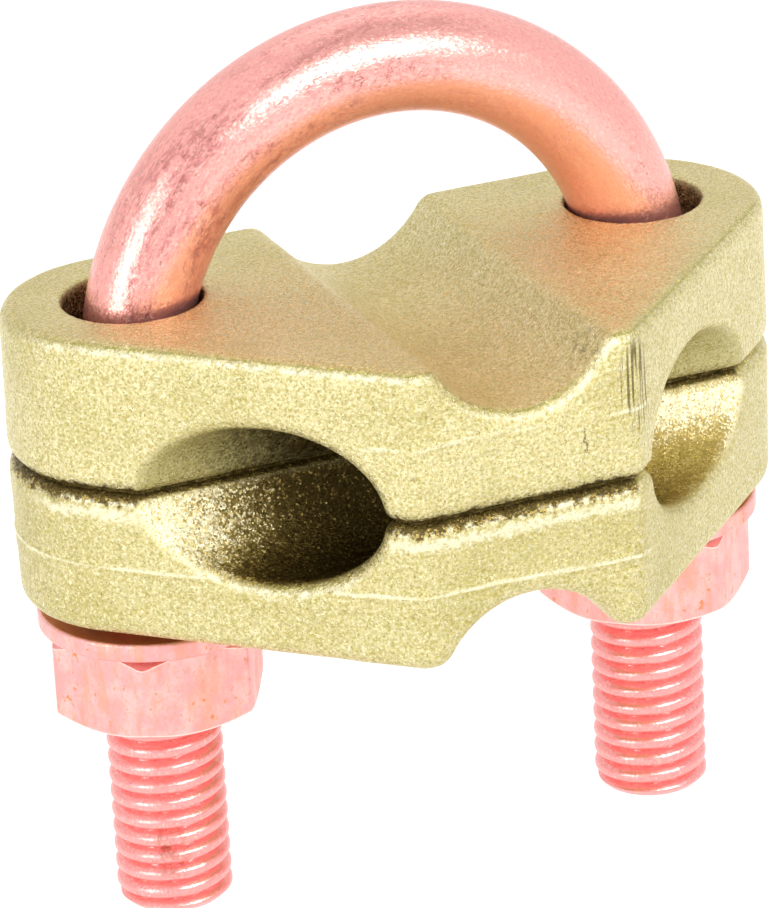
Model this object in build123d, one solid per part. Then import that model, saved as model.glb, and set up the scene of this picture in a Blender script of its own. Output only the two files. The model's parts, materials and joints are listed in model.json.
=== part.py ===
from build123d import *
import math
import os

# Earth rod clamp: a round bar U-bolt, two alike castings, two flat washers and two hexagon nuts.
# Units are millimetres.  The origin is on the axis of the earth rod, where it crosses the plane
# of the U-bolt.  The rod runs along Y, between the bow and the saddle of the upper casting.
# +X runs from the left leg to the right leg, +Z points up through the bow, and the nose of the
# castings points to -Y.  The conductor runs along X between the castings, in front of the legs.
# Heights in this file are measured from the joint face between the castings, and the last step
# lowers every piece so that the rod axis is at zero.  The nuts are drawn up and both grips closed.

# ---------------------------------------------------------------- driving dimensions
# U-bolt
leg_spacing = 43.7            # between the axes of the two legs
bar_diameter = 8.8            # blank for a rolled thread, so thinner than the thread itself
bow_centre_z = 6.35           # where the straight legs turn into the half-round bow
leg_end_z = -40.2
thread_diameter = 9.525       # 3/8 inch, 16 threads to the inch
thread_pitch = 1.5875
thread_length = 35.0
leg_end_chamfer = 0.6

# castings
casting_height = 12.4
end_radius = 10.8             # half-round ends, about the leg axes
nose_reach = 27.0             # from the leg axes to the flat front of the nose
nose_width = 21.0             # over the two rounded corners of the nose
nose_corner_radius = 1.8
draft_angle = 1.0             # degrees, narrowing away from the joint face
leg_hole_diameter = 11.2
outer_edge_radius = 1.2
joint_edge_radius = 1.4

# saddle for the earth rod, across the outer face of each casting
rod_diameter = 15.88          # 5/8 inch earth rod
saddle_depth = 4.6
saddle_shoulder_radius = 1.8

# groove for the conductor, half in each casting
groove_diameter = 12.7
groove_offset = 17.0          # from the leg axes to the groove axis

# washers and nuts
washer_slack = 1.2            # left under the lower casting, three quarters of a turn of the nuts
washer_diameter = 19.05
washer_hole_diameter = 10.3
washer_thickness = 1.6
washer_edge_radius = 0.3
nut_across_flats = 15.9       # 5/8 inch spanner
nut_height = 7.6
nut_chamfer_angle = 30.0
nut_face_diameter = 15.0      # of the round face that the chamfer leaves at each end
nut_mouth_diameter = 10.7     # of the countersink at each end of the thread
thread_clearance = 0.04       # radial, between a leg and a nut bore, both drawn without thread
left_nut_turn = 2.0           # degrees from +X to the first corner
right_nut_turn = 46.5

# ---------------------------------------------------------------- worked out
leg_x = leg_spacing / 2
bar_radius = bar_diameter / 2
thread_radius = thread_diameter / 2
saddle_radius = rod_diameter / 2
saddle_axis_z = casting_height - saddle_depth + saddle_radius
washer_top_z = -casting_height - washer_slack
nut_top_z = washer_top_z - washer_thickness
casting_span = leg_spacing + 2 * end_radius
overrun = 5.0                 # how far a cutter runs past the work


def make_u_bolt():
    """Round bar bent to a half-round bow, with a thread-size stretch at the end of each leg."""
    thread_top_z = leg_end_z + thread_length
    blank_end_z = leg_end_z + leg_end_chamfer
    with BuildPart() as bolt:
        with BuildLine():
            Line((-leg_x, 0, blank_end_z), (-leg_x, 0, bow_centre_z))
            ThreePointArc(
                (-leg_x, 0, bow_centre_z), (0, 0, bow_centre_z + leg_x), (leg_x, 0, bow_centre_z)
            )
            Line((leg_x, 0, bow_centre_z), (leg_x, 0, blank_end_z))
        with BuildSketch(Plane.XY.offset(blank_end_z)):
            with Locations((-leg_x, 0)):
                Circle(bar_radius)
        sweep()
        for x in (-leg_x, leg_x):
            with BuildSketch(Plane((x, 0, 0), x_dir=(1, 0, 0), z_dir=(0, -1, 0))):
                Polygon(
                    (0, leg_end_z),
                    (thread_radius - leg_end_chamfer, leg_end_z),
                    (thread_radius, blank_end_z),
                    (thread_radius, thread_top_z - thread_pitch),
                    (bar_radius, thread_top_z),
                    (0, thread_top_z),
                    align=None,
                )
            revolve(axis=Axis((x, 0, 0), (0, 0, 1)))
    return bolt.part


def make_casting():
    """One casting, lying as the upper one does: joint face on z = 0, saddle in its top."""
    nose_x = nose_width / 2 - nose_corner_radius
    with BuildPart() as casting:
        # plan: half-round ends about the legs, straight back, nose with 45 degree shoulders
        with BuildSketch():
            with Locations((-leg_x, 0), (leg_x, 0)):
                Circle(end_radius)
            with Locations((-nose_x, nose_corner_radius - nose_reach),
                           (nose_x, nose_corner_radius - nose_reach)):
                Circle(nose_corner_radius)
            make_hull()
        extrude(amount=casting_height)
        draft(casting.faces().filter_by(Axis.Z, reverse=True), Plane.XY, draft_angle)

        # saddle for the earth rod, and its rolled shoulders
        with Locations((0, 0, saddle_axis_z)):
            Cylinder(saddle_radius, 2 * (nose_reach + overrun),
                     rotation=(90, 0, 0), mode=Mode.SUBTRACT)
        top_edges = casting.edges().filter_by_position(
            Axis.Z, casting_height - 0.01, casting_height + 0.01)
        fillet(top_edges.filter_by(Axis.Y), saddle_shoulder_radius)

        # groove for the conductor
        with Locations((0, -groove_offset, 0)):
            Cylinder(groove_diameter / 2, casting_span + 2 * overrun,
                     rotation=(0, 90, 0), mode=Mode.SUBTRACT)

        # rolled edges: all round the outer face, all round the joint face, and the groove's mouths
        walls = casting.faces().filter_by(
            lambda face: face.geom_type in (GeomType.PLANE, GeomType.CONE)
            and abs(face.normal_at().Z) < 0.5)
        rim = walls.edges().filter_by(lambda edge: edge.center().Z > saddle_axis_z - saddle_radius - 0.5
                                      and not is_upright(edge))
        fillet(rim, outer_edge_radius)
        joint_edges = casting.edges().filter_by_position(Axis.Z, -0.01, 0.01)
        mouths = casting.edges().filter_by(GeomType.ELLIPSE).filter_by(
            lambda edge: edge.bounding_box().min.Z < 0.01)
        fillet(joint_edges + mouths, joint_edge_radius)

        with Locations((-leg_x, 0, 0), (leg_x, 0, 0)):
            Cylinder(leg_hole_diameter / 2, 3 * casting_height, mode=Mode.SUBTRACT)
    return casting.part


def is_upright(edge):
    """True for an edge that climbs a wall, such as where two drafted walls meet."""
    return edge.bounding_box().size.Z > casting_height / 2


def make_washer(x):
    """Flat washer on the leg at x, on top of its nut, a little below the lower casting."""
    with BuildPart() as washer:
        with Locations((x, 0, washer_top_z - washer_thickness / 2)):
            Cylinder(washer_diameter / 2, washer_thickness)
            Cylinder(washer_hole_diameter / 2, 2 * washer_thickness, mode=Mode.SUBTRACT)
        rims = washer.edges().filter_by(GeomType.CIRCLE).group_by(SortBy.RADIUS)[-1]
        fillet(rims, washer_edge_radius)
    return washer.part


def make_nut(x, turn):
    """Hexagon nut, chamfered at both ends, on the leg at x with a corner turned from +X."""
    corner_radius = nut_across_flats / 2 / math.cos(math.radians(30))
    face_radius = nut_face_diameter / 2
    chamfer_drop = (corner_radius - face_radius) * math.tan(math.radians(nut_chamfer_angle))
    bottom_z = nut_top_z - nut_height
    bore_radius = thread_radius + thread_clearance
    mouth_radius = nut_mouth_diameter / 2
    mouth_drop = mouth_radius - bore_radius
    with BuildPart() as nut:
        with BuildSketch(Plane.XY.offset(bottom_z)):
            with Locations((x, 0)):
                RegularPolygon(corner_radius, 6, rotation=turn)
        extrude(amount=nut_height)
        # turned profile: the chamfers outside, the bore and its countersinks inside
        with BuildSketch(Plane((x, 0, bottom_z), x_dir=(1, 0, 0), z_dir=(0, -1, 0))):
            Polygon(
                (mouth_radius, 0),
                (face_radius, 0),
                (corner_radius, chamfer_drop),
                (corner_radius, nut_height - chamfer_drop),
                (face_radius, nut_height),
                (mouth_radius, nut_height),
                (bore_radius, nut_height - mouth_drop),
                (bore_radius, mouth_drop),
                align=None,
            )
        revolve(axis=Axis((x, 0, 0), (0, 0, 1)), mode=Mode.INTERSECT)
    return nut.part


casting = make_casting()
pieces = {
    "u_bolt": make_u_bolt(),
    "upper_casting": casting,
    "lower_casting": Rot(0, 180, 0) * casting,
    "left_washer": make_washer(-leg_x),
    "right_washer": make_washer(leg_x),
    "left_nut": make_nut(-leg_x, left_nut_turn),
    "right_nut": make_nut(leg_x, right_nut_turn),
}

os.makedirs("parts", exist_ok=True)
for name, piece in pieces.items():
    export_step(Pos(0, 0, -saddle_axis_z) * piece, f"parts/{name}.step")
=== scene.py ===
"""Dresses the packed earth rod clamp: a copper U-bolt, two gunmetal castings, washers and nuts."""

import json
import math

import bpy
from mathutils import Matrix, Vector, noise


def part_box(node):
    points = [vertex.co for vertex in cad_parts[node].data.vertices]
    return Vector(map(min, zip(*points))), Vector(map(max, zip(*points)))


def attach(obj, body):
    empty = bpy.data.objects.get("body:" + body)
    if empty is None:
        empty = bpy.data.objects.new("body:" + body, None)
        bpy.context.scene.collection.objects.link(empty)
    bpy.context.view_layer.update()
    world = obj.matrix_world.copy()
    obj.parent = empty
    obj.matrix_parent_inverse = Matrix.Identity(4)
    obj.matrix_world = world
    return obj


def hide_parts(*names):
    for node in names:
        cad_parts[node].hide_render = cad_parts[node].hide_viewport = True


bl_info = {
    "name": "Earth Rod Clamp",
    "version": (1, 0, 0),
    "blender": (4, 5, 0),
    "location": "3D View > Sidebar > Rod Clamp",
    "description": "Models an earth rod clamp over its packed frame and sets up a studio for it",
    "category": "Add Mesh",
}

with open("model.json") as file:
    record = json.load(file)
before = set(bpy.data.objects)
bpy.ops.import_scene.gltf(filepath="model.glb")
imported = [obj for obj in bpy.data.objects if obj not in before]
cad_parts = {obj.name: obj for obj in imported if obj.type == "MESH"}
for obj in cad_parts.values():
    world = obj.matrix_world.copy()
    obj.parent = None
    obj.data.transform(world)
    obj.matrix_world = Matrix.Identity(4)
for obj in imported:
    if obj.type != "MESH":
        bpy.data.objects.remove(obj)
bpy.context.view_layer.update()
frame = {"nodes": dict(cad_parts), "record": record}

MM = 0.001
WELD_DISTANCE = 0.001 * MM
NUT_CHAMFER = math.radians(30)
SMOOTH_ANGLE = math.radians(50)

# Places read from the frame. The rod lies along Y, and the legs stand at x = -leg_x and x = leg_x.
bolt_low, bolt_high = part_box("u_bolt")
thread_radius = bolt_high.y
leg_x = bolt_high.x - thread_radius
leg_end_z = bolt_low.z
joint_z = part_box("upper_casting")[0].z
conductor = next(m for m in frame["record"]["mounts"] if m["name"] == "conductor_groove")
groove_y = conductor["pos_m"][1]
groove_radius = conductor["dims"]["r_mm"] * MM


# --- Settings -----------------------------------------------------------------------------------


def length_property(name, millimetres, description):
    return bpy.props.FloatProperty(
        name=name, default=millimetres * MM, min=0.0, precision=5, unit="LENGTH",
        description=description,
    )


def colour_property(name, colour, description):
    return bpy.props.FloatVectorProperty(
        name=name, default=colour, min=0.0, max=1.0, size=3, subtype="COLOR",
        description=description,
    )


def factor_property(name, value, description):
    return bpy.props.FloatProperty(
        name=name, default=value, min=0.0, max=1.0, subtype="FACTOR", description=description
    )


class BoltSettings(bpy.types.PropertyGroup):
    """The U-bolt: one round bar with a rolled thread on each leg."""

    bar_diameter: length_property("Bar Diameter", 8.8, "Plain bar, the blank of the rolled thread")
    thread_length: length_property("Thread Length", 35.0, "Thread on each leg, up from its end")
    thread_pitch: length_property("Thread Pitch", 1.5875, "16 turns to the inch")
    thread_depth: length_property("Thread Depth", 0.72, "From the crest down to the root")
    end_chamfer: length_property("End Chamfer", 0.6, "45 degree chamfer on the end of each leg")
    copper: colour_property("Copper", (1.0, 0.46, 0.41), "Clean bar")
    thread_copper: colour_property("Thread Copper", (1.0, 0.38, 0.36), "Rolled threads")
    # Painted light: salmon laid on the inner side of the bow stands in for light reflected onto it
    # from below.
    salmon: colour_property("Salmon", (1.0, 0.43, 0.35), "Inner side of the bow")
    # Rose is also a painted dark reflection, laid strongest on the front of the left bend.
    rose: colour_property("Rose", (0.5, 0.13, 0.15), "Darker streaks and specks")
    brown: colour_property("Brown", (0.3, 0.12, 0.04), "Thin cracks in the skin of the bar")
    bright: colour_property("Bright", (1.0, 0.74, 0.64), "Brightest grains of the copper")
    roughness: factor_property("Roughness", 0.27, "Satin of the drawn bar")


class CastingSettings(bpy.types.PropertyGroup):
    """The two castings, one pattern used twice."""

    hole_diameter: length_property("Leg Hole", 11.2, "Holes for the legs")
    skin_size: length_property("Skin Size", 0.3, "Size of the mesh faces on the cast skin")
    waviness: length_property("Waviness", 0.14, "Height of the slow unevenness of the cast skin")
    seam_height: length_property("Seam Height", 0.1, "How far the mould seam stands proud")
    seam_width: length_property("Seam Width", 0.45, "Half width of the mould seam")
    gunmetal: colour_property("Gunmetal", (0.77, 0.68, 0.37), "Clean cast metal")
    # Khaki is random darker tone in patches and grains, laid below the joint, and painted shade in
    # the hollows of the fine relief.
    khaki: colour_property("Khaki", (0.45, 0.38, 0.1), "Duller hollows and patches")
    # Glint is painted highlight: glints on grains and relief crests, bright edges, the seam, the
    # groove's mouths and the lower casting's edge.
    glint: colour_property("Glint", (1.0, 0.95, 0.7), "Brightest grains and worn edges")
    soot: colour_property("Soot", (0.1, 0.07, 0.015), "Dirt in the gouges, scuffs, crack and pit")
    # Olive is painted shade: a dark reflection where a top face ends.
    olive: colour_property("Olive", (0.42, 0.4, 0.1), "Line where the top face ends")
    # Gold is a painted reflection: a warmer tint on faces that look up.
    gold: colour_property("Gold", (0.78, 0.58, 0.2), "Warmer metal of the top faces")
    # Groove gold is a painted interreflection on the groove's lower wall.
    groove_gold: colour_property("Groove Gold", (0.38, 0.27, 0.06), "Lower half of the groove")
    # Groove glint is painted: golden glints in the groove and along the joint.
    groove_glint: colour_property("Groove Glint", (0.82, 0.62, 0.19), "Its golden grains")
    # Groove grey is painted shade on the groove's roof.
    groove_grey: colour_property("Groove Grey", (0.42, 0.38, 0.16), "Roof of the groove")
    # Painted shade deep in the groove, and painted shadow along the joint.
    painted_groove_joint_shade: colour_property("Groove Skin", (0.1, 0.068, 0.018), "Brown of groove and joint")
    # Painted shade on the walls of the leg holes.
    painted_hole_shade: colour_property("Hole Skin", (0.3, 0.22, 0.1), "Darker skin in the leg holes")
    roughness: factor_property("Roughness", 0.37, "Satin of the blasted skin")


class FastenerSettings(bpy.types.PropertyGroup):
    """The washers and the nuts."""

    across_flats: length_property("Across Flats", 15.9, "Size of the hexagon")
    nut_face_diameter: length_property("Nut Face", 15.0, "Flat round face inside the chamfer")
    nut_corner_round: length_property("Corner Round", 0.5, "Rounding of the six corners")
    nut_bore: length_property("Nut Bore", 8.7, "Bore, a little inside the crests of the thread")
    nut_mouth: length_property("Nut Mouth", 10.7, "Countersink at both ends of the bore")
    seat_gap: length_property("Seat Gap", 0.02, "Left between nut and washer, so that it turns")
    washer_hole: length_property("Washer Hole", 10.3, "Hole of the washer")
    washer_edge: length_property("Washer Edge", 0.3, "Rounding of the washer's rims")
    pink: colour_property("Pink", (0.87, 0.4, 0.39), "Clean coppered face")
    tarnish: colour_property("Tarnish", (0.86, 0.36, 0.24), "Orange smears")
    # Rust is real in the small spots, and painted shade on the faces that look up, under the
    # castings.
    rust_and_shade: colour_property("Rust", (0.72, 0.24, 0.06), "Small spots and faces under the castings")
    pale: colour_property("Pale", (0.98, 0.62, 0.56), "Paler patches")
    # Shine is a painted highlight along the line under each nut chamfer.
    shine: colour_property("Shine", (1.0, 0.86, 0.78), "Rubbed edges")
    # Half width of that painted highlight.
    rim_width: length_property("Rim Width", 0.17, "Half width of the rubbed line under a chamfer")
    roughness: factor_property("Roughness", 0.36, "Satin of the coppered faces")


class StageSettings(bpy.types.PropertyGroup):
    """Floor, lights and camera."""

    camera_place: bpy.props.FloatVectorProperty(
        name="Camera Place", default=(-0.1429, -0.3537, 0.1396), size=3, subtype="TRANSLATION",
        unit="LENGTH", description="Where the camera stands",
    )
    camera_azimuth: bpy.props.FloatProperty(
        name="Azimuth", default=math.radians(-21.83), subtype="ANGLE",
        description="Turn of the camera about the vertical",
    )
    camera_elevation: bpy.props.FloatProperty(
        name="Elevation", default=math.radians(22.89), subtype="ANGLE",
        description="How far the camera looks down",
    )
    camera_roll: bpy.props.FloatProperty(
        name="Roll", default=math.radians(-3.09), subtype="ANGLE",
        description="Turn of the camera about its own line of sight",
    )
    lens: bpy.props.FloatProperty(
        name="Lens", default=200.9, min=1.0, description="Focal length in millimetres"
    )
    floor: colour_property("Floor", (0.4, 0.4, 0.4), "Floor, under its own even light")


class ClampSettings(bpy.types.PropertyGroup):
    """Everything that a user would change on the clamp."""

    bolt: bpy.props.PointerProperty(type=BoltSettings)
    casting: bpy.props.PointerProperty(type=CastingSettings)
    fastener: bpy.props.PointerProperty(type=FastenerSettings)
    stage: bpy.props.PointerProperty(type=StageSettings)


# --- Modelling helpers --------------------------------------------------------------------------


def start_piece(name):
    """Names the primitive just added and gives it back with its place in its mesh."""
    bpy.ops.object.transform_apply(location=True, rotation=True, scale=True)
    piece = bpy.context.active_object
    piece.name = piece.data.name = name
    return piece


def select_only(*pieces):
    bpy.ops.object.select_all(action="DESELECT")
    for piece in pieces:
        piece.select_set(True)
    bpy.context.view_layer.objects.active = pieces[0]


def select_parts(piece, domain, wanted):
    """In object mode, selects the vertices, edges or polygons that pass the test and no others."""
    data = piece.data
    for group in (data.vertices, data.edges, data.polygons):
        group.foreach_set("select", [False] * len(group))
    for part in getattr(data, domain):
        part.select = wanted(part)


def edit(piece, domain=None, wanted=None):
    """Enters edit mode on one piece, with all selected or only the parts that pass the test."""
    select_only(piece)
    if wanted:
        select_parts(piece, domain, wanted)
    bpy.context.tool_settings.mesh_select_mode = (
        domain in (None, "vertices"), domain == "edges", domain == "polygons"
    )
    bpy.ops.object.mode_set(mode="EDIT")
    if not wanted:
        bpy.ops.mesh.select_all(action="SELECT")


def leave_edit():
    bpy.ops.object.mode_set(mode="OBJECT")


def finish_modifier(piece, kind, **settings):
    """Adds a modifier with these settings and applies it."""
    select_only(piece)
    modifier = piece.modifiers.new(kind.title(), kind)
    for key, value in settings.items():
        setattr(modifier, key, value)
    bpy.ops.object.modifier_apply(modifier=modifier.name)


def close_up(piece):
    """Merges doubles and turns all faces outwards."""
    edit(piece)
    bpy.ops.mesh.remove_doubles(threshold=WELD_DISTANCE)
    bpy.ops.mesh.select_all(action="SELECT")
    bpy.ops.mesh.normals_make_consistent(inside=False)
    leave_edit()


def turned_body(name, profile, x, steps):
    """A ring turned about the leg at x from a closed profile of (radius, height) points."""
    bpy.ops.object.select_all(action="DESELECT")
    bpy.ops.mesh.primitive_circle_add(vertices=len(profile), radius=MM)
    ring = start_piece(name)
    for vertex, (radius, height) in zip(ring.data.vertices, profile):
        vertex.co = (x + radius, 0, height)
    edit(ring)
    bpy.ops.mesh.spin(steps=steps, angle=math.tau, center=(x, 0, 0), axis=(0, 0, 1))
    leave_edit()
    close_up(ring)
    return ring


def rounded_corner(centre_radius, centre_height, radius, start_angle, steps=4):
    """Points of a quarter circle, counter-clockwise from start_angle in degrees."""
    angles = [math.radians(start_angle + 90 * step / steps) for step in range(steps + 1)]
    return [
        (centre_radius + radius * math.cos(a), centre_height + radius * math.sin(a))
        for a in angles
    ]


def smooth_step(low, high, value):
    share = min(max((value - low) / (high - low), 0.0), 1.0)
    return share * share * (3 - 2 * share)


def uneven(place, waves):
    """Slow noise at a place, added up from waves of (cycles, height)."""
    return sum(noise.noise(place * cycles) * height for cycles, height in waves)


def hand_over(piece, node, body, material):
    """Gives a finished piece its material and lets it stand for a node of the frame."""
    piece.data.materials.clear()
    piece.data.materials.append(material)
    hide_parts(node)
    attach(piece, body)


# --- Material helpers ---------------------------------------------------------------------------


class MaterialBuilder:
    """Builds one node material around a metallic Principled shader, colour laid over colour."""

    def __init__(self, name, colour, roughness, metallic=1.0):
        self.material = bpy.data.materials.get(name) or bpy.data.materials.new(name)
        self.material.use_nodes = True
        self.tree = self.material.node_tree
        self.tree.nodes.clear()
        self.colour = colour
        self.shader = self.add("ShaderNodeBsdfPrincipled", Metallic=metallic, Roughness=roughness)
        self.add("ShaderNodeOutputMaterial", Surface=self.shader.outputs[0])

    def add(self, kind, settings=None, **inputs):
        """A new node. Inputs are numbers, colours or the output sockets of other nodes."""
        node = self.tree.nodes.new(kind)
        for key, value in (settings or {}).items():
            setattr(node, key, value)
        for key, value in inputs.items():
            self.plug(node, key.replace("_", " "), value)
        return node

    def plug(self, node, key, value):
        """Sets an input of a node, or links it where the value comes from another node."""
        socket = node.inputs[key]
        if isinstance(value, bpy.types.NodeSocket):
            self.tree.links.new(value, socket)
        else:
            socket.default_value = value

    def attribute(self, name, output="Fac"):
        """What the mesh of the piece stores at each of its points."""
        return self.add("ShaderNodeAttribute", {"attribute_name": name}).outputs[output]

    def object_place(self):
        """The place on the object, in metres."""
        return self.add("ShaderNodeTexCoord").outputs["Object"]

    def surface_normal(self):
        return self.add("ShaderNodeNewGeometry").outputs["Normal"]

    def axes(self, vector):
        """X, Y and Z of a vector."""
        parts = self.add("ShaderNodeSeparateXYZ", Vector=vector)
        return [parts.outputs[key] for key in "XYZ"]

    def place(self, scale, source=None, location=(0, 0, 0)):
        """Place on the object, or in a stored attribute, in cycles to the millimetre by axis."""
        vector = self.attribute(source, "Vector") if source else self.object_place()
        factor = [s / MM for s in scale]
        mapping = self.add("ShaderNodeMapping", Vector=vector, Scale=factor, Location=location)
        return mapping.outputs[0]

    def noise(self, vector, detail=2.0, rough=0.5):
        node = self.add(
            "ShaderNodeTexNoise", Vector=vector, Scale=1.0, Detail=detail, Roughness=rough
        )
        return node.outputs["Fac"]

    def math(self, operation, a, b=0.0):
        node = self.add("ShaderNodeMath", {"operation": operation})
        self.plug(node, 0, a)
        self.plug(node, 1, b)
        return node.outputs[0]

    def vector_math(self, operation, a, b=(0, 0, 0)):
        node = self.add("ShaderNodeVectorMath", {"operation": operation})
        self.plug(node, 0, a)
        self.plug(node, 1, b)
        return node.outputs["Value" if operation == "LENGTH" else "Vector"]

    def range(self, value, low, high, to_low=0.0, to_high=1.0):
        """Goes smoothly from to_low to to_high as the value goes from low to high."""
        node = self.add(
            "ShaderNodeMapRange", {"interpolation_type": "SMOOTHSTEP"}, Value=value,
            From_Min=low, From_Max=high, To_Min=to_low, To_Max=to_high,
        )
        return node.outputs[0]

    def mix(self, share, first, second):
        """Mixes two colours; a plain colour is given as three numbers."""
        node = self.add("ShaderNodeMix", {"data_type": "RGBA"})
        self.plug(node, 0, share)
        for index, colour in ((6, first), (7, second)):
            if not isinstance(colour, bpy.types.NodeSocket):
                colour = (*colour, 1.0)
            self.plug(node, index, colour)
        return node.outputs[2]

    def lay(self, colour, share):
        """Lays a colour over the material's colour so far."""
        self.colour = self.mix(share, self.colour, colour)

    def tilted_grains(self, vector, tilt):
        """Colour and normal of small flat grains, each tilted its own way."""
        colour = self.add("ShaderNodeTexVoronoi", Vector=vector, Scale=1.0).outputs["Color"]
        centred = self.vector_math("SUBTRACT", colour, (0.5, 0.5, 0.5))
        lean = self.vector_math("MULTIPLY", centred, (tilt, tilt, tilt))
        total = self.vector_math("ADD", lean, self.surface_normal())
        return colour, self.vector_math("NORMALIZE", total)

    def distance(self, a, b):
        squares = self.math("ADD", self.math("MULTIPLY", a, a), self.math("MULTIPLY", b, b))
        return self.math("SQRT", squares)

    def off_leg(self):
        """Distance from the axis of the nearer leg."""
        x, y, _ = self.axes(self.object_place())
        return self.distance(self.math("SUBTRACT", self.math("ABSOLUTE", x), leg_x), y)

    def both(self, first, *others):
        """Product of shares."""
        for other in others:
            first = self.math("MULTIPLY", first, other)
        return first

    def band(self, value, middle, half_width):
        """1 where the value is at the middle, 0 from half_width away."""
        off = self.math("ABSOLUTE", self.math("SUBTRACT", value, middle))
        return self.range(off, 0.0, half_width, 1.0, 0.0)

    def spot(self, centre, reach):
        """1 at a centre given in millimetres, 0 at the rim of an ellipsoid of that reach."""
        offset = self.vector_math("SUBTRACT", self.object_place(), Vector(centre) * MM)
        length = self.vector_math("LENGTH", self.vector_math("DIVIDE", offset, Vector(reach) * MM))
        return self.range(length, 0.6, 1.0, 1.0, 0.0)

    def bump(self, height, depth, normal):
        """A bump of that depth in millimetres, over the normal so far."""
        node = self.add(
            "ShaderNodeBump", Height=height, Distance=depth * MM, Strength=1.0, Normal=normal
        )
        return node.outputs[0]

    def finish(self, normal, roughness=None):
        self.plug(self.shader, "Base Color", self.colour)
        self.plug(self.shader, "Normal", normal)
        if roughness is not None:
            self.plug(self.shader, "Roughness", roughness)
        return self.material


def copper_bar_material(settings):
    """Drawn copper bar: fine grain, rose streaks and thin brown cracks; redder on the threads.
    Painted light on the inner side of the bow, and a painted dark reflection on the front of the
    left bend.
    """
    m = MaterialBuilder("copper_bar", settings.copper, settings.roughness, 0.86)
    threaded = m.attribute("threaded")
    plain = m.math("SUBTRACT", 1.0, threaded)
    along, outward, across = m.axes(m.attribute("bar_place", "Vector"))
    streaks = m.noise(m.place((0.1, 0.5, 0.5), "bar_place"), 4.0, 0.6)
    mottle = m.noise(m.place((0.8, 1.6, 1.6), "bar_place", (7, 3, 1)), 5.0, 0.72)
    fine = m.noise(m.place((3.2, 4.5, 4.5), "bar_place"), 3.0, 0.7)
    crackle = m.noise(m.place((0.8, 1.3, 1.3), "bar_place", (2, 5, 8)), 5.0, 0.6)

    m.lay(settings.thread_copper, threaded)
    # painted light: the inner side of the bow is laid a redder salmon, as if lit from below
    inner = m.range(outward, -4.2 * MM, -1.0 * MM, 1.0, 0.0)
    m.lay(settings.salmon, m.both(inner, plain, 0.6))

    # rose streaks all over; painted dark reflection where they are laid strongest, on the front of
    # the left bend
    bend = m.both(m.band(along, 13 * MM, 34 * MM), m.range(across, -3.5 * MM, 1.0 * MM, 1.0, 0.2))
    amount = m.math("ADD", m.both(bend, 0.6), 0.08)
    streaks_and_dark_reflection = m.both(m.range(streaks, 0.38, 0.6), m.range(mottle, 0.4, 0.62), plain, amount)
    m.lay(settings.rose, streaks_and_dark_reflection)

    # thin cracks, and one smudge low on the left leg
    cracks = m.both(
        m.band(crackle, 0.5, 0.013), m.range(streaks, 0.46, 0.58), plain,
        m.range(bend, 0.0, 0.8, 0.3, 0.7),
    )
    smudge = m.both(m.spot((-23.6, -4.2, -50.3), (2.2, 2.4, 2.8)), m.range(mottle, 0.45, 0.58))
    m.lay(settings.brown, m.math("MAXIMUM", cracks, m.both(smudge, 0.38)))

    # the fine grain, dark and bright; the dark specks are laid stronger on the bend, as part of
    # its painted dark reflection
    speck = m.both(m.range(fine, 0.52, 0.7, 0.0, 0.45), m.range(amount, 0.1, 0.8, 0.6, 1.0))
    m.lay(settings.rose, speck)
    m.lay(settings.bright, m.range(fine, 0.3, 0.46, 0.45, 0.0))
    _, tilted = m.tilted_grains(m.place((5.0, 6.5, 6.5), "bar_place"), 0.11)
    normal = m.bump(fine, 0.03, tilted)
    normal = m.bump(m.both(cracks, -1.0), 0.05, normal)
    return m.finish(normal)


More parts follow.
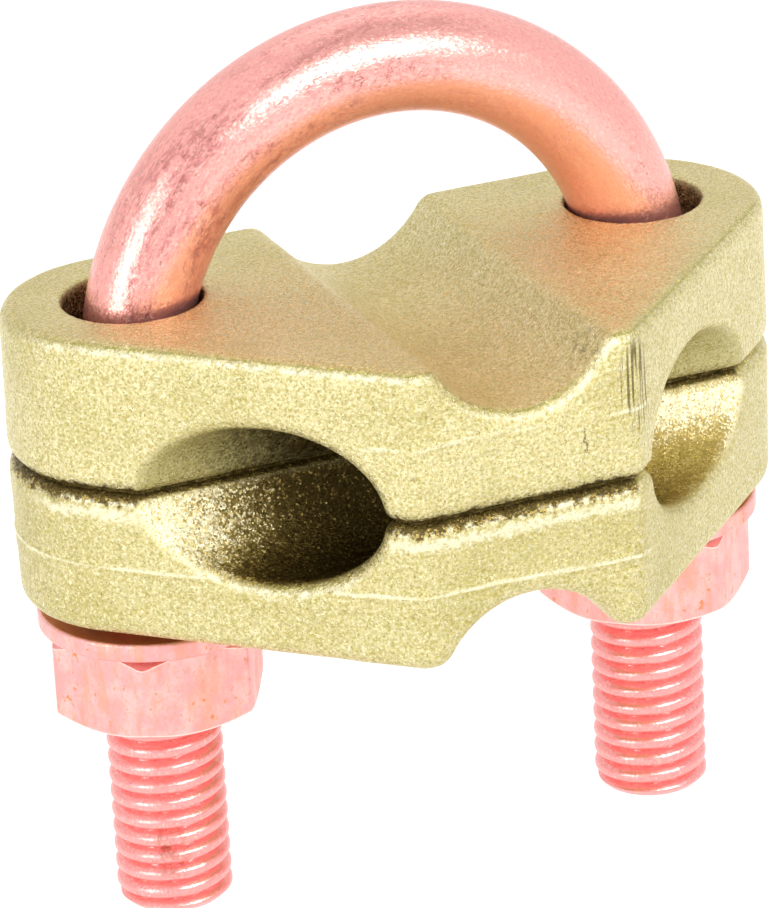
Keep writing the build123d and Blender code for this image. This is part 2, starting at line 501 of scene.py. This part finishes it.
class GunmetalBuilder(MaterialBuilder):
    """Blasted cast gunmetal. The methods lay its colours in the order in which they stand."""

    # centre and reach in millimetres of the marks on the upper casting's nose
    gouge_spot = ((9.4, -27, -7.8), (1.9, 3, 4.6))
    scuff_spot = ((6.4, -24, -4.5), (1.2, 2.8, 3.5))
    crack_spot = ((4.7, -27, -11.4), (1.0, 1.5, 1.2))
    pit_spot = ((-9.7, -27.5, -11.8), (0.45, 1.2, 0.4))

    def __init__(self, name, settings):
        super().__init__(name, settings.gunmetal, settings.roughness)
        self.settings = settings
        self.x, self.y, self.z = self.axes(self.object_place())
        rightward, self.backward, self.upward = self.axes(self.surface_normal())
        self.forward = self.range(self.backward, -0.5, -0.15, 1.0, 0.0)
        self.not_right = self.range(rightward, 0.12, 0.34, 1.0, 0.0)
        grains, self.tilted = self.tilted_grains(self.place((6.8, 6.8, 6.8)), 0.5)
        self.chance = self.add("ShaderNodeSeparateColor", Color=grains).outputs
        self.grit = self.noise(self.place((3.6, 3.6, 3.6)), 4.0, 0.72)
        self.ragged = self.noise(self.place((1.3, 1.3, 1.3)), 4.0, 0.7)
        self.groove = self.groove_wall()

    def groove_wall(self):
        """1 inside the conductor groove, 0 outside it."""
        off_axis = self.distance(
            self.math("SUBTRACT", self.y, groove_y), self.math("SUBTRACT", self.z, joint_z)
        )
        return self.range(off_axis, groove_radius, groove_radius + 0.5 * MM, 1.0, 0.0)

    def lay_skin(self):
        """The cast skin: darker below the joint, in random patches and on random grains, painted
        shade in the hollows of the fine relief, painted glints on its crests and on bright grains,
        and a painted warm reflection on faces that look up.
        """
        settings, grain = self.settings, self.chance[0]
        patches = self.noise(self.place((0.12, 0.12, 0.12)), 3.0, 0.5)
        # darker below the joint and in random patches
        lower = self.range(self.z, joint_z - 1 * MM, joint_z, 0.22, 0.0)
        darker_low_and_patches = self.math("ADD", lower, self.range(patches, 0.4, 0.7, 0.0, 0.3))
        self.lay(settings.khaki, darker_low_and_patches)
        # painted shade in the hollows of the fine relief
        self.lay(settings.khaki, self.range(self.grit, 0.36, 0.52, 0.8, 0.0))
        self.lay(settings.khaki, self.range(grain, 0.0, 0.35, 0.6, 0.0))
        # painted glints on the crests of the fine relief and on some grains
        self.lay(settings.glint, self.range(self.grit, 0.54, 0.68, 0.0, 0.6))
        self.lay(settings.glint, self.range(grain, 0.88, 0.97, 0.0, 0.4))
        # painted reflection: a warmer tint on faces that look up
        self.lay(settings.gold, self.range(self.upward, 0.6, 0.95, 0.0, 0.22))

    def lay_painted_edge_light(self):
        """Painted shade: an olive line where a top face ends. Painted highlights: a bright band
        below it, and a bright line along the mould seam.
        """
        settings, ragged = self.settings, self.ragged
        # painted shade: an olive line where a top face rounds over to the front
        olive = self.both(
            self.band(self.upward, 0.84, 0.15), self.forward,
            self.range(ragged, 0.38, 0.52, 0.2, 0.8),
        )
        self.lay(settings.olive, olive)
        # painted highlight: a bright band on the rounded edges that face the front, not the right
        highlit = self.both(
            self.band(self.upward, 0.5, 0.28), self.forward, self.not_right,
            self.range(ragged, 0.36, 0.6), 0.9,
        )
        self.lay(settings.glint, highlit)
        # painted highlight along the raised mould seam
        seam = self.both(
            self.range(self.attribute("seam"), 0.4, 0.9), self.range(ragged, 0.36, 0.5, 0.2, 0.75)
        )
        self.lay(settings.glint, seam)

    def lay_groove(self):
        """Painted light and shade in the groove: golden and white painted glints at its mouths,
        brown painted shade deep inside and along its bottom, a painted golden interreflection on
        its lower wall, and grey painted shade on its roof.
        """
        settings, chance = self.settings, self.chance[1]
        above = self.range(self.z, joint_z - 0.3 * MM, joint_z + 0.3 * MM)
        off_middle = self.math("ABSOLUTE", self.math("ADD", self.x, 5 * MM))
        for shift in (
            self.range(self.ragged, 0.3, 0.7, -2 * MM, 2 * MM),
            self.range(self.backward, -0.9, 0.0, 3 * MM, -2 * MM),
            self.both(above, 2.5 * MM),
        ):
            off_middle = self.math("ADD", off_middle, shift)
        deep = self.range(off_middle, 11 * MM, 23 * MM, 1.0, 0.0)
        bottom = self.both(
            self.range(self.upward, 0.2, 0.8), self.range(self.x, 0.0, 12 * MM, 0.45, 1.15), 0.75
        )
        dimmed = self.math("MAXIMUM", deep, bottom)
        roof = self.both(self.groove, above)
        floor_wall = self.math("SUBTRACT", self.groove, roof)
        # painted shade: grey on the roof of the groove
        self.lay(settings.groove_grey, self.both(roof, 0.6))
        # painted interreflection: darker gold on the lower wall, most where the groove is dim
        painted_interreflection = self.range(dimmed, 0.0, 0.6, 0.3, 0.85)
        self.lay(settings.groove_gold, self.both(floor_wall, painted_interreflection))
        # painted shade, brown, deep inside the groove
        self.lay(settings.painted_groove_joint_shade, self.both(self.groove, deep))
        # painted glints, golden and white, fewer where the groove is dim
        level = self.math("SUBTRACT", chance, self.both(dimmed, 0.95))
        for colour, low, high, most in (
            (settings.groove_glint, -0.12, 0.12, 0.85),
            (settings.glint, 0.0, 0.4, 0.9),
        ):
            bright = self.range(level, low, high, 0.0, most)
            self.lay(colour, self.both(floor_wall, bright))

    def lay_joint(self):
        """Painted shadow: a brown line along the edge of the lower casting, under the upper one,
        with painted glints in it. Painted highlight: a bright edge under it.
        """
        settings = self.settings
        outside = self.range(self.groove, 0.0, 0.6, 1.0, 0.0)
        below = self.math("SUBTRACT", joint_z, self.z)
        below = self.math("ADD", below, self.range(self.ragged, 0.3, 0.7, -0.4 * MM, 0.4 * MM))
        # painted highlight on the rounded top edge of the lower casting
        edge = self.both(
            self.band(below, 1.7 * MM, 0.7 * MM), self.forward, outside, self.not_right, 0.7
        )
        self.lay(settings.glint, edge)
        # painted shadow: a brown line under the upper casting, along the joint
        off_flat = self.range(self.math("ABSOLUTE", self.upward), 0.93, 0.99, 1.0, 0.15)
        joint = self.both(
            self.range(below, 0.6 * MM, 1.15 * MM, 1.0, 0.0),
            self.range(below, -0.7 * MM, -0.3 * MM), outside, self.not_right, off_flat,
        )
        self.lay(settings.painted_groove_joint_shade, self.both(joint, 0.95))
        # painted glints in that shadow
        spark = self.both(
            joint, self.range(self.chance[1], 0.6, 0.9), self.range(below, 0.1 * MM, 0.7 * MM), 0.9
        )
        self.lay(settings.groove_glint, spark)

    def lay_marks(self):
        """File gouges, scuffs, a crack and a pit. Gives back their share, for the bump."""
        strokes = self.noise(self.place((4.6, 0.2, 0.11)), 1.0, 0.4)
        gouges = self.both(self.spot(*self.gouge_spot), self.range(strokes, 0.53, 0.58))
        scuffs = self.both(self.spot(*self.scuff_spot), self.range(self.ragged, 0.53, 0.62), 0.55)
        wander = self.range(self.ragged, 0.2, 0.8, -0.5 * MM, 0.5 * MM)
        crack_line = self.band(self.math("ADD", self.x, wander), 4.7 * MM, 0.13 * MM)
        crack = self.both(self.spot(*self.crack_spot), crack_line)
        pit = self.both(self.spot(*self.pit_spot), 0.6)
        marks = self.math(
            "MAXIMUM", self.math("MAXIMUM", gouges, crack), self.math("MAXIMUM", scuffs, pit)
        )
        self.lay(self.settings.soot, self.both(marks, 0.75))
        return marks

    def lay_holes(self):
        """Painted shade: darker walls of the leg holes."""
        radius = self.settings.hole_diameter / 2
        wall = self.range(self.off_leg(), radius + 0.05 * MM, radius + 0.3 * MM, 1.0, 0.0)
        self.lay(self.settings.painted_hole_shade, self.both(wall, 0.85))


def gunmetal_material(name, settings):
    """Blasted cast gunmetal: fine grain with painted glints, painted shade and highlights along
    the edges, a brown painted shadow along the joint, brown and golden painted light and shade in
    the groove, and painted shade in the leg holes.
    """
    m = GunmetalBuilder(name, settings)
    m.lay_skin()
    m.lay_painted_edge_light()
    m.lay_groove()
    m.lay_joint()
    marks = m.lay_marks()
    m.lay_holes()
    normal = m.bump(m.both(marks, -1.0), 0.2, m.tilted)
    normal = m.bump(m.grit, 0.14, normal)
    normal = m.bump(m.noise(m.place((0.8, 0.8, 0.8))), 0.12, normal)
    rough = m.range(m.chance[2], 0.0, 1.0, settings.roughness - 0.12, settings.roughness + 0.1)
    return m.finish(normal, rough)


def chamfer_rim(m, settings):
    """1 along the line where a nut's sides meet its chamfers."""
    low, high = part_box("left_nut")
    z = m.axes(m.object_place())[2]
    beyond = m.math("SUBTRACT", m.off_leg(), settings.nut_face_diameter / 2)
    drop = m.math("MULTIPLY", beyond, math.tan(NUT_CHAMFER))
    rims = [
        m.band(m.math("SUBTRACT", inwards, drop), 0.0, settings.rim_width)
        for inwards in (m.math("SUBTRACT", high.z, z), m.math("SUBTRACT", z, low.z))
    ]
    return m.both(m.math("MAXIMUM", *rims), m.range(beyond, 0.0, 0.4 * MM))


def copper_fastener_material(settings):
    """Coppered steel: mottled pink, orange smears down the sides, brown spots, bright painted
    highlights along the rims under the chamfers, and painted shade on faces that look up.
    """
    m = MaterialBuilder("copper_fastener", settings.pink, settings.roughness, 0.9)
    upward = m.axes(m.surface_normal())[2]
    smears = m.noise(m.place((0.7, 0.7, 0.16)), 4.0, 0.65)
    cloud = m.noise(m.place((0.5, 0.5, 0.4), location=(5, 2, 7)), 4.0, 0.6)
    spots = m.noise(m.place((1.5, 1.5, 1.3), location=(3, 1, 2)), 3.0, 0.6)
    bloom = m.noise(m.place((3.4, 3.4, 3.0)), 3.0, 0.65)
    m.lay(settings.pale, m.range(cloud, 0.38, 0.62, 0.0, 0.5))
    m.lay(settings.tarnish, m.range(smears, 0.48, 0.64, 0.0, 0.6))
    m.lay(settings.tarnish, m.range(bloom, 0.5, 0.68, 0.0, 0.6))
    m.lay(settings.rust_and_shade, m.both(m.range(spots, 0.62, 0.69, 0.0, 0.85), m.range(cloud, 0.38, 0.5)))
    # painted highlight: a bright line on the nut's sides under each chamfer
    side = m.range(m.math("ABSOLUTE", upward), 0.2, 0.4, 1.0, 0.0)
    painted_rim_highlight = m.both(chamfer_rim(m, settings), side, m.range(bloom, 0.36, 0.5, 0.5, 0.95))
    m.lay(settings.shine, painted_rim_highlight)
    # painted shade: rust brown on faces that look up, which lie in shadow under the castings and
    # washers
    m.lay(settings.rust_and_shade, m.range(upward, 0.92, 0.98, 0.0, 0.85))
    _, tilted = m.tilted_grains(m.place((4.6, 4.6, 4.6)), 0.1)
    normal = m.bump(bloom, 0.04, tilted)
    normal = m.bump(smears, 0.08, normal)
    rough = m.range(smears, 0.3, 0.7, settings.roughness, settings.roughness + 0.1)
    return m.finish(normal, rough)


# --- Pieces -------------------------------------------------------------------------------------


class CLAMP_OT_u_bolt(bpy.types.Operator):
    """Bend the bar into the bow, draw out both legs and roll their threads"""

    bl_idname = "clamp.u_bolt"
    bl_label = "U-Bolt"
    bl_options = {"REGISTER", "UNDO"}

    sides = 64              # faces round the bar
    bow_steps = 96          # faces along the half-round bow
    rings_per_turn = 18
    run_out_turns = 1.6
    crest_power = 2.4       # higher is a broader crest and a narrower root
    colour_run_out = 2 * MM  # the thread's redder colour fades out over this

    def execute(self, context):
        settings = context.scene.rod_clamp.bolt
        bar_radius = settings.bar_diameter / 2
        bow_z = bolt_high.z - leg_x - bar_radius
        thread_top = leg_end_z + settings.thread_length

        bpy.ops.object.select_all(action="DESELECT")
        bpy.ops.mesh.primitive_circle_add(
            vertices=self.sides, radius=bar_radius, location=(-leg_x, 0, bow_z)
        )
        bolt = start_piece("copper_u_bolt")
        edit(bolt)
        bpy.ops.mesh.spin(
            steps=self.bow_steps, angle=-math.pi, center=(0, 0, bow_z), axis=(0, 1, 0)
        )
        leave_edit()
        for start_z, end_z in ((bow_z, thread_top), (thread_top, leg_end_z)):
            edit(bolt, "vertices", lambda v: abs(v.co.z - start_z) < WELD_DISTANCE)
            bpy.ops.mesh.extrude_region_move(
                TRANSFORM_OT_translate={"value": (0, 0, end_z - start_z)}
            )
            leave_edit()
        self.divide_threads(bolt, settings, thread_top)
        self.roll_threads(bolt, settings, thread_top)
        for side in (-1, 1):
            edit(
                bolt, "vertices",
                lambda v: v.co.z < leg_end_z + WELD_DISTANCE and v.co.x * side > 0,
            )
            bpy.ops.mesh.edge_face_add()
            leave_edit()
        close_up(bolt)
        self.mark_bar_place(bolt, bow_z, thread_top)
        select_only(bolt)
        bpy.ops.object.shade_smooth_by_angle(angle=SMOOTH_ANGLE)
        hand_over(bolt, "u_bolt", "u_bolt", copper_bar_material(settings))
        return {"FINISHED"}

    def divide_threads(self, bolt, settings, thread_top):
        """Divides the long faces of the threaded stretch into many rings."""
        turns = settings.thread_length / settings.thread_pitch
        points = bolt.data.vertices

        def spans_thread(e):
            low, high = sorted(points[i].co.z for i in e.vertices)
            return low < leg_end_z + WELD_DISTANCE and high > thread_top - WELD_DISTANCE

        edit(bolt, "edges", spans_thread)
        bpy.ops.mesh.subdivide_edgering(
            number_cuts=round(turns * self.rings_per_turn), interpolation="LINEAR", smoothness=0
        )
        leave_edit()

    def roll_threads(self, bolt, settings, thread_top):
        """Moves the rings in and out to a right-hand thread that runs out at its top."""
        end_radius = thread_radius - settings.end_chamfer
        bar_radius = settings.bar_diameter / 2
        for vertex in bolt.data.vertices:
            if vertex.co.z > thread_top - WELD_DISTANCE:
                continue
            axis_x = math.copysign(leg_x, vertex.co.x)
            angle = math.atan2(vertex.co.y, vertex.co.x - axis_x)
            height = vertex.co.z - leg_end_z
            phase = (height / settings.thread_pitch - angle / math.tau) % 1.0
            off_crest = abs(phase - 0.5) * 2
            rolled = thread_radius - settings.thread_depth * off_crest ** self.crest_power
            run_out = self.run_out_turns * settings.thread_pitch
            full = smooth_step(0, run_out, thread_top - vertex.co.z)
            radius = bar_radius + (rolled - bar_radius) * full
            radius = min(radius, end_radius + height)
            vertex.co.x = axis_x + radius * math.cos(angle)
            vertex.co.y = radius * math.sin(angle)

    def mark_bar_place(self, bolt, bow_z, thread_top):
        """Stores each point's place on a straightened bar (along, outwards, across) and its share
        of full thread."""
        marks = []
        for vertex in bolt.data.vertices:
            x, y, z = vertex.co
            if z > bow_z:
                marks += [math.atan2(z - bow_z, -x) * leg_x, math.hypot(x, z - bow_z) - leg_x, y]
            else:
                along = z - bow_z if x < 0 else math.pi * leg_x + bow_z - z
                marks += [along, abs(x) - leg_x, y]
        shares = [
            smooth_step(0, self.colour_run_out, thread_top - vertex.co.z)
            for vertex in bolt.data.vertices
        ]
        bolt.data.attributes.new("threaded", "FLOAT", "POINT").data.foreach_set("value", shares)
        bolt.data.attributes.new("bar_place", "FLOAT_VECTOR", "POINT")
        bolt.data.attributes["bar_place"].data.foreach_set("vector", marks)


class CLAMP_OT_castings(bpy.types.Operator):
    """Give both castings their cast skin, with its waviness and mould seam"""

    bl_idname = "clamp.castings"
    bl_label = "Castings"
    bl_options = {"REGISTER", "UNDO"}

    # cycles to the millimetre and height of the uneven skin, and of the seam's wander
    skin_waves = ((0.14, 0.6), (0.45, 0.3))
    seam_waves = ((0.09, 0.6), (0.5, 0.15))
    seam_lines = ((0.0, 1.0), (1.2, 0.6))     # millimetres below mid height, and strength
    seam_wall_limit = 0.35                    # the seam keeps to walls that lean less than this
    upper_seam_start = (-17 * MM, -9 * MM)    # the upper casting has no seam left of these
    seam_end = (9 * MM, 13 * MM)              # both seams are faint right of these
    end_loss = 0.8

    def execute(self, context):
        settings = context.scene.rod_clamp.casting
        for node, seed in (("upper_casting", 0.0), ("lower_casting", 40.0)):
            casting = bpy.data.objects.new("gunmetal_" + node, frame["nodes"][node].data.copy())
            context.collection.objects.link(casting)
            close_up(casting)
            finish_modifier(casting, "REMESH", mode="VOXEL", voxel_size=settings.skin_size)
            finish_modifier(casting, "SMOOTH", factor=0.5, iterations=3)
            self.mark_skin(casting, node, settings, seed)
            select_only(casting)
            bpy.ops.object.shade_smooth()
            material = gunmetal_material("gunmetal_" + node, settings)
            hand_over(casting, node, node, material)
        return {"FINISHED"}

    def seam_share(self, node, co, place, off_middle, settings):
        """How proud the mould seam stands at a point of a wall, from 0 to 1."""
        fade = 0.9 + noise.noise(place * 0.2 + Vector((9, 9, 9)))
        if node == "upper_casting":
            fade *= smooth_step(*self.upper_seam_start, co.x)
        fade *= 1 - self.end_loss * smooth_step(*self.seam_end, co.x)
        fade = min(max(fade, 0.0), 1.0)
        share = 0.0
        for drop, strength in self.seam_lines:
            line = 1 - smooth_step(0, settings.seam_width, abs(off_middle + drop * MM))
            share = max(share, line * strength * fade)
        return share

    def mark_skin(self, casting, node, settings, seed):
        """Moves the skin in and out: slow waviness everywhere and the mould seam on the walls."""
        low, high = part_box(node)
        middle_z = (low.z + high.z) / 2
        moves, seams = [], []
        for vertex in casting.data.vertices:
            place = vertex.co / MM + Vector((seed, 0, 0))
            rise = uneven(place, self.skin_waves) * settings.waviness * 0.5
            seam = 0.0
            if abs(vertex.normal.z) < self.seam_wall_limit:
                level = Vector((place.x, place.y, seed))
                off_middle = vertex.co.z - middle_z - uneven(level, self.seam_waves) * MM
                seam = self.seam_share(node, vertex.co, place, off_middle, settings)
                rise += settings.seam_height * seam
            moves.append(vertex.normal * rise)
            seams.append(seam)
        for vertex, move in zip(casting.data.vertices, moves):
            vertex.co += move
        casting.data.attributes.new("seam", "FLOAT", "POINT").data.foreach_set("value", seams)


class CLAMP_OT_fasteners(bpy.types.Operator):
    """Turn the washers and make the nuts"""

    bl_idname = "clamp.fasteners"
    bl_label = "Washers and Nuts"
    bl_options = {"REGISTER", "UNDO"}

    sides = (("left", -leg_x, 2.0), ("right", leg_x, 46.5))  # x, and the nut's turn in degrees
    round_steps = 96
    nut_smooth_angle = math.radians(40)
    nut_edge_round = 0.14 * MM
    nut_edge_angle = math.radians(18)  # sharper edges than this are rounded

    def execute(self, context):
        settings = context.scene.rod_clamp.fastener
        material = copper_fastener_material(settings)
        for side, x, turn in self.sides:
            washer = self.add_washer(side, x, settings)
            nut = self.add_nut(side, x, math.radians(turn), settings)
            for piece, node in ((washer, side + "_washer"), (nut, side + "_nut")):
                hand_over(piece, node, node, material)
        return {"FINISHED"}

    def add_washer(self, side, x, settings):
        low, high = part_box(side + "_washer")
        edge = settings.washer_edge
        outer, inner = (high.x - low.x) / 2 - edge, settings.washer_hole / 2 + edge
        profile = (
            rounded_corner(outer, low.z + edge, edge, -90)
            + rounded_corner(outer, high.z - edge, edge, 0)
            + rounded_corner(inner, high.z - edge, edge, 90)
            + rounded_corner(inner, low.z + edge, edge, 180)
        )
        washer = turned_body("copper_%s_washer" % side, profile, x, self.round_steps)
        select_only(washer)
        bpy.ops.object.shade_smooth_by_angle(angle=SMOOTH_ANGLE)
        return washer

    def add_nut(self, side, x, turn, settings):
        low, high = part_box(side + "_nut")
        high.z -= settings.seat_gap
        corner_radius = settings.across_flats / 2 / math.cos(math.pi / 6)
        face_radius = settings.nut_face_diameter / 2
        chamfer_drop = (corner_radius - face_radius) * math.tan(NUT_CHAMFER)
        bore, mouth = settings.nut_bore / 2, settings.nut_mouth / 2
        bpy.ops.object.select_all(action="DESELECT")
        bpy.ops.mesh.primitive_cylinder_add(
            vertices=6, radius=corner_radius, depth=high.z - low.z,
            location=(x, 0, (low.z + high.z) / 2), rotation=(0, 0, turn + math.radians(90)),
        )
        nut = start_piece("copper_%s_nut" % side)
        points = nut.data.vertices
        edit(
            nut, "edges",
            lambda e: abs(points[e.vertices[0]].co.z - points[e.vertices[1]].co.z) > MM,
        )
        bpy.ops.mesh.bevel(offset=settings.nut_corner_round, segments=4)
        leave_edit()
        profile = (
            (mouth, low.z),
            (face_radius, low.z),
            (corner_radius, low.z + chamfer_drop),
            (corner_radius, high.z - chamfer_drop),
            (face_radius, high.z),
            (mouth, high.z),
            (bore, high.z - (mouth - bore)),
            (bore, low.z + (mouth - bore)),
        )
        envelope = turned_body("nut_envelope", profile, x, self.round_steps)
        finish_modifier(nut, "BOOLEAN", operation="INTERSECT", solver="EXACT", object=envelope)
        bpy.data.objects.remove(envelope)
        finish_modifier(
            nut, "BEVEL", width=self.nut_edge_round, segments=3, limit_method="ANGLE",
            angle_limit=self.nut_edge_angle,
        )
        select_only(nut)
        bpy.ops.object.shade_smooth_by_angle(angle=self.nut_smooth_angle)
        return nut


# --- Stage --------------------------------------------------------------------------------------


class CLAMP_OT_stage(bpy.types.Operator):
    """Set up the floor, the surroundings, the lights and the camera"""

    bl_idname = "clamp.stage"
    bl_label = "Stage"
    bl_options = {"REGISTER", "UNDO"}

    # name, direction from the clamp, distance in metres, width, height, power in watts
    softboxes = (
        ("left_softbox", (-0.93, -0.33, 0.12), 0.7, 0.3, 0.5, 1.6),
        ("front_softbox", (0.2, -0.79, 0.55), 0.8, 0.46, 0.2, 3.4),
        ("top_softbox", (0.3, 0.55, 0.8), 0.8, 0.5, 0.4, 0.3),
    )
    dark_gap = (0.34, -0.25, 0.9)
    room_levels = ((0.84, 0.93), (0.96, 0.62))  # by the cosine of the angle from the dark gap
    floor_size = 6.0
    floor_glow = 0.8

    def execute(self, context):
        settings = context.scene.rod_clamp.stage
        self.add_floor(settings)
        self.set_surroundings(context)
        for softbox in self.softboxes:
            self.add_softbox(*softbox)
        self.add_camera(context, settings)
        context.scene.view_settings.view_transform = "Standard"
        return {"FINISHED"}

    def add_floor(self, settings):
        bpy.ops.object.select_all(action="DESELECT")
        bpy.ops.mesh.primitive_plane_add(size=self.floor_size, location=(0, 0, leg_end_z))
        floor = start_piece("floor")
        material = bpy.data.materials.new("floor")
        material.use_nodes = True
        shader = material.node_tree.nodes["Principled BSDF"]
        shader.inputs["Base Color"].default_value = (*settings.floor, 1.0)
        shader.inputs["Roughness"].default_value = 0.9
        shader.inputs["Specular IOR Level"].default_value = 0.0
        shader.inputs["Emission Color"].default_value = (1, 1, 1, 1)
        shader.inputs["Emission Strength"].default_value = self.floor_glow
        floor.data.materials.append(material)

    def set_surroundings(self, context):
        """A pale room with one dark gap overhead, between the lamps."""
        world = bpy.data.worlds.new("studio")
        context.scene.world = world
        world.use_nodes = True
        nodes, links = world.node_tree.nodes, world.node_tree.links
        nodes.clear()
        place = nodes.new("ShaderNodeTexCoord")
        toward = nodes.new("ShaderNodeVectorMath")
        toward.operation = "DOT_PRODUCT"
        toward.inputs[1].default_value = Vector(self.dark_gap).normalized()
        ramp = nodes.new("ShaderNodeValToRGB")
        background = nodes.new("ShaderNodeBackground")
        output = nodes.new("ShaderNodeOutputWorld")
        for element, (position, level) in zip(ramp.color_ramp.elements, self.room_levels):
            element.position = position
            element.color = (level, level, level, 1.0)
        links.new(place.outputs["Generated"], toward.inputs[0])
        links.new(toward.outputs["Value"], ramp.inputs["Fac"])
        links.new(ramp.outputs[0], background.inputs["Color"])
        links.new(background.outputs[0], output.inputs[0])

    def add_softbox(self, name, direction, distance, width, height, power):
        direction = Vector(direction)
        bpy.ops.object.light_add(type="AREA", location=direction.normalized() * distance)
        light = bpy.context.active_object
        light.name = light.data.name = name
        light.rotation_euler = direction.to_track_quat("Z", "Y").to_euler()
        light.data.shape = "RECTANGLE"
        light.data.size, light.data.size_y = width, height
        light.data.energy = power

    def add_camera(self, context, settings):
        bpy.ops.object.camera_add()
        camera = context.active_object
        camera.name = "camera"
        turn = (
            Matrix.Rotation(settings.camera_azimuth, 4, "Z")
            @ Matrix.Rotation(math.radians(90) - settings.camera_elevation, 4, "X")
            @ Matrix.Rotation(settings.camera_roll, 4, "Z")
        )
        camera.matrix_world = Matrix.Translation(settings.camera_place) @ turn
        camera.data.lens = settings.lens
        camera.data.clip_start, camera.data.clip_end = 0.01, 20.0
        context.scene.camera = camera


class CLAMP_PT_panel(bpy.types.Panel):
    """Buttons and settings in the 3D view's sidebar"""

    bl_idname = "CLAMP_PT_panel"
    bl_label = "Earth Rod Clamp"
    bl_space_type = "VIEW_3D"
    bl_region_type = "UI"
    bl_category = "Rod Clamp"

    def draw(self, context):
        settings = context.scene.rod_clamp
        for group, operator in (
            (settings.bolt, CLAMP_OT_u_bolt),
            (settings.casting, CLAMP_OT_castings),
            (settings.fastener, CLAMP_OT_fasteners),
            (settings.stage, CLAMP_OT_stage),
        ):
            column = self.layout.box().column()
            for key in group.__annotations__:
                column.prop(group, key)
            column.operator(operator.bl_idname)


classes = (
    BoltSettings,
    CastingSettings,
    FastenerSettings,
    StageSettings,
    ClampSettings,
    CLAMP_OT_u_bolt,
    CLAMP_OT_castings,
    CLAMP_OT_fasteners,
    CLAMP_OT_stage,
    CLAMP_PT_panel,
)


def register():
    for cls in classes:
        bpy.utils.register_class(cls)
    bpy.types.Scene.rod_clamp = bpy.props.PointerProperty(type=ClampSettings)


def unregister():
    del bpy.types.Scene.rod_clamp
    for cls in reversed(classes):
        bpy.utils.unregister_class(cls)


def main():
    register()
    bpy.ops.clamp.u_bolt()
    bpy.ops.clamp.castings()
    bpy.ops.clamp.fasteners()
    bpy.ops.clamp.stage()


if __name__ == "__main__":
    main()
